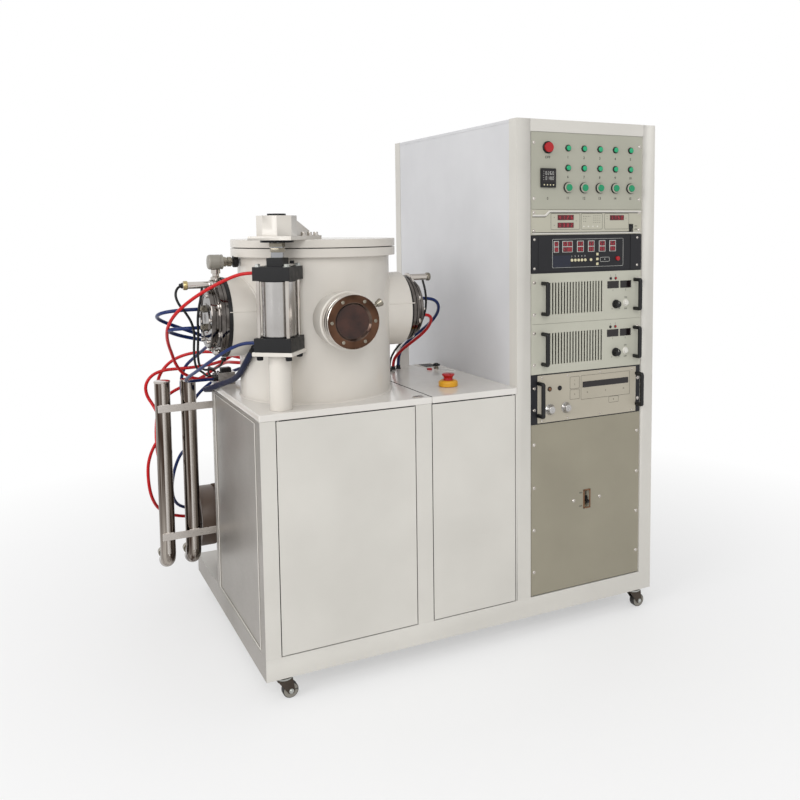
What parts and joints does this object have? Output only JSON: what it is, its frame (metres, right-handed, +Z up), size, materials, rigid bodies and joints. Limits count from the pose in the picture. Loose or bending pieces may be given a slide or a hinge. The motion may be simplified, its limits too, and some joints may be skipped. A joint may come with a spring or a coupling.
{
  "type": "arc ion plating machine",
  "caption": "Vacuum coating machine: an upright chamber with a lift-and-swing lid, arc sources and a viewport on a low cabinet, beside a tall control rack on casters.",
  "frame": {"origin": "floor level, under the middle of the rigid pieces' box", "axes": "+X to the right seen from the front, +Y to the rear, +Z up"},
  "size_m": [1.7301, 1.077, 1.835],
  "materials": {
    "frame_paint": "warm white powder coat",
    "seal_rubber": "matte",
    "stainless": "brushed stainless",
    "sight_glass": "clear, bronze tinted by deposit",
    "black_plastic": "matte",
    "cylinder_aluminium": "satin anodised",
    "hard_chrome": "ground and chromed",
    "pump_paint": "grey-brown enamel",
    "control_paint": "taupe grey, satin",
    "supply_paint": "light grey, satin",
    "black_paint": "black, satin",
    "blank_paint": "taupe, satin",
    "yellow_plastic": "glossy",
    "red_plastic": "glossy",
    "white_plastic": "glossy",
    "green_plastic": "glossy",
    "red_hose": "smooth polyurethane",
    "blue_hose": "smooth polyurethane",
    "dark_steel": "dark zinc",
    "wheel_rubber": "matte"
  },
  "bodies": {
    "frame": {"base_frame": "frame_paint", "cabinet_frame": "frame_paint", "cabinet_panels": "frame_paint", "table_plates": "frame_paint", "chamber_body": "frame_paint", "chamber_seal": "seal_rubber", "viewport_flange": "stainless", "viewport_glass": "sight_glass", "source_insulators": "black_plastic", "arc_sources": "stainless", "lift_supports": "frame_paint", "lift_cylinder": "cylinder_aluminium", "cooling_manifold": "stainless", "vacuum_pump": "pump_paint", "air_valve": "cylinder_aluminium", "control_panel": "control_paint", "display_unit": "supply_paint", "indicator_unit": "black_paint", "upper_supply": "supply_paint", "lower_supply": "supply_paint", "gauge_unit": "supply_paint", "blank_panel": "blank_paint", "pull_handles": "black_plastic", "estop_collar": "yellow_plastic", "red_air_hose": "red_hose", "blue_air_hose": "blue_hose", "left_source_hose": "blue_hose", "right_source_hose": "blue_hose", "red_manifold_hose": "red_hose", "blue_manifold_hose": "blue_hose"},
    "lift_rod": {"lift_rod": "hard_chrome"},
    "lid": {"lid": "frame_paint", "lid_arm": "frame_paint"},
    "turntable": {"turntable": "stainless"},
    "left_door": {"left_door": "frame_paint"},
    "right_door": {"right_door": "frame_paint"},
    "estop_button": {"estop_button": "red_plastic"},
    "power_rocker": {"power_rocker": "black_plastic"},
    "breaker_toggle": {"breaker_toggle": "black_plastic"},
    "reset_button": {"reset_button": "red_plastic"},
    "panel_stop_button": {"panel_stop_button": "red_plastic"},
    "upper_supply_knob": {"upper_supply_knob": "black_plastic"},
    "lower_supply_knob": {"lower_supply_knob": "black_plastic"},
    "upper_supply_switch": {"upper_supply_switch": "white_plastic"},
    "lower_supply_switch": {"lower_supply_switch": "white_plastic"},
    "left_gauge_knob": {"left_gauge_knob": "cylinder_aluminium"},
    "right_gauge_knob": {"right_gauge_knob": "cylinder_aluminium"},
    "start_button_1": {"start_button_1": "green_plastic"},
    "start_button_2": {"start_button_2": "green_plastic"},
    "start_button_3": {"start_button_3": "green_plastic"},
    "start_button_4": {"start_button_4": "green_plastic"},
    "start_button_5": {"start_button_5": "green_plastic"},
    "front_left_fork": {"front_left_fork": "dark_steel"},
    "front_left_wheel": {"front_left_wheel": "wheel_rubber"},
    "front_right_fork": {"front_right_fork": "dark_steel"},
    "front_right_wheel": {"front_right_wheel": "wheel_rubber"},
    "rear_left_fork": {"rear_left_fork": "dark_steel"},
    "rear_left_wheel": {"rear_left_wheel": "wheel_rubber"},
    "rear_right_fork": {"rear_right_fork": "dark_steel"},
    "rear_right_wheel": {"rear_right_wheel": "wheel_rubber"}
  },
  "joints": [
    {"name": "lid_lift", "type": "slide", "parent": "frame", "child": "lift_rod", "axis": [0, 0, 1], "range_m": [0, 0.12]},
    {"name": "lid_swing", "type": "hinge", "parent": "lift_rod", "child": "lid", "pos_m": [-0.56898, -0.42152, 1.433], "axis": [0, 0, 1], "range_deg": [0, 110]},
    {"name": "left_door_hinge", "type": "hinge", "parent": "frame", "child": "left_door", "pos_m": [-0.597, -0.4755, 0.5], "axis": [0, 0, -1], "range_deg": [0, 105]},
    {"name": "right_door_hinge", "type": "hinge", "parent": "frame", "child": "right_door", "pos_m": [0.235, -0.4755, 0.5], "axis": [0, 0, 1], "range_deg": [0, 105]},
    {"name": "turntable_spin", "type": "hinge", "parent": "frame", "child": "turntable", "pos_m": [-0.367, -0.1615, 0.95], "axis": [0, 0, 1], "continuous": true},
    {"name": "estop_press", "type": "slide", "parent": "frame", "child": "estop_button", "axis": [0, 0, -1], "range_m": [0, 0.005]},
    {"name": "front_left_swivel", "type": "hinge", "parent": "frame", "child": "front_left_fork", "pos_m": [-0.593, -0.4565, 0.07], "axis": [0, 0, 1], "continuous": true},
    {"name": "front_left_roll", "type": "hinge", "parent": "front_left_fork", "child": "front_left_wheel", "pos_m": [-0.575, -0.4565, 0.025], "axis": [0, 1, 0], "continuous": true},
    {"name": "front_right_swivel", "type": "hinge", "parent": "frame", "child": "front_right_fork", "pos_m": [0.788, -0.4565, 0.07], "axis": [0, 0, 1], "continuous": true},
    {"name": "front_right_roll", "type": "hinge", "parent": "front_right_fork", "child": "front_right_wheel", "pos_m": [0.806, -0.4565, 0.025], "axis": [0, 1, 0], "continuous": true},
    {"name": "rear_left_swivel", "type": "hinge", "parent": "frame", "child": "rear_left_fork", "pos_m": [-0.593, 0.5135, 0.07], "axis": [0, 0, 1], "continuous": true},
    {"name": "rear_left_roll", "type": "hinge", "parent": "rear_left_fork", "child": "rear_left_wheel", "pos_m": [-0.575, 0.5135, 0.025], "axis": [0, 1, 0], "continuous": true},
    {"name": "rear_right_swivel", "type": "hinge", "parent": "frame", "child": "rear_right_fork", "pos_m": [0.788, 0.5135, 0.07], "axis": [0, 0, 1], "continuous": true},
    {"name": "rear_right_roll", "type": "hinge", "parent": "rear_right_fork", "child": "rear_right_wheel", "pos_m": [0.806, 0.5135, 0.025], "axis": [0, 1, 0], "continuous": true},
    {"name": "panel_stop_press", "type": "slide", "parent": "frame", "child": "panel_stop_button", "axis": [0, 1, 0], "range_m": [0, 0.004]},
    {"name": "start_press_1", "type": "slide", "parent": "frame", "child": "start_button_1", "axis": [0, 1, 0], "range_m": [0, 0.004], "stiffness_N_per_m": 500, "springref_m": -0.002},
    {"name": "start_press_2", "type": "slide", "parent": "frame", "child": "start_button_2", "axis": [0, 1, 0], "range_m": [0, 0.004], "stiffness_N_per_m": 500, "springref_m": -0.002},
    {"name": "start_press_3", "type": "slide", "parent": "frame", "child": "start_button_3", "axis": [0, 1, 0], "range_m": [0, 0.004], "stiffness_N_per_m": 500, "springref_m": -0.002},
    {"name": "start_press_4", "type": "slide", "parent": "frame", "child": "start_button_4", "axis": [0, 1, 0], "range_m": [0, 0.004], "stiffness_N_per_m": 500, "springref_m": -0.002},
    {"name": "start_press_5", "type": "slide", "parent": "frame", "child": "start_button_5", "axis": [0, 1, 0], "range_m": [0, 0.004], "stiffness_N_per_m": 500, "springref_m": -0.002},
    {"name": "reset_press", "type": "slide", "parent": "frame", "child": "reset_button", "axis": [0, 1, 0], "range_m": [0, 0.004], "stiffness_N_per_m": 500, "springref_m": -0.002},
    {"name": "upper_supply_press", "type": "slide", "parent": "frame", "child": "upper_supply_switch", "axis": [0, 1, 0], "range_m": [0, 0.004], "stiffness_N_per_m": 500, "springref_m": -0.002},
    {"name": "lower_supply_press", "type": "slide", "parent": "frame", "child": "lower_supply_switch", "axis": [0, 1, 0], "range_m": [0, 0.004], "stiffness_N_per_m": 500, "springref_m": -0.002},
    {"name": "upper_supply_turn", "type": "hinge", "parent": "frame", "child": "upper_supply_knob", "pos_m": [0.6757, -0.4915, 1.1817], "axis": [0, 1, 0], "range_deg": [0, 300]},
    {"name": "lower_supply_turn", "type": "hinge", "parent": "frame", "child": "lower_supply_knob", "pos_m": [0.6757, -0.4915, 1.0039], "axis": [0, 1, 0], "range_deg": [0, 300]},
    {"name": "left_gauge_turn", "type": "hinge", "parent": "frame", "child": "left_gauge_knob", "pos_m": [0.3857, -0.4915, 0.8201], "axis": [0, 1, 0], "range_deg": [0, 300]},
    {"name": "right_gauge_turn", "type": "hinge", "parent": "frame", "child": "right_gauge_knob", "pos_m": [0.4547, -0.4915, 0.8201], "axis": [0, 1, 0], "range_deg": [0, 300]},
    {"name": "rocker_tilt", "type": "hinge", "parent": "frame", "child": "power_rocker", "pos_m": [0.7427, -0.4745, 1.45895], "axis": [-1, 0, 0], "range_deg": [0, 30]},
    {"name": "breaker_throw", "type": "hinge", "parent": "frame", "child": "breaker_toggle", "pos_m": [0.55, -0.4645, 0.4703], "axis": [-1, 0, 0], "range_deg": [0, 50]}
  ]
}
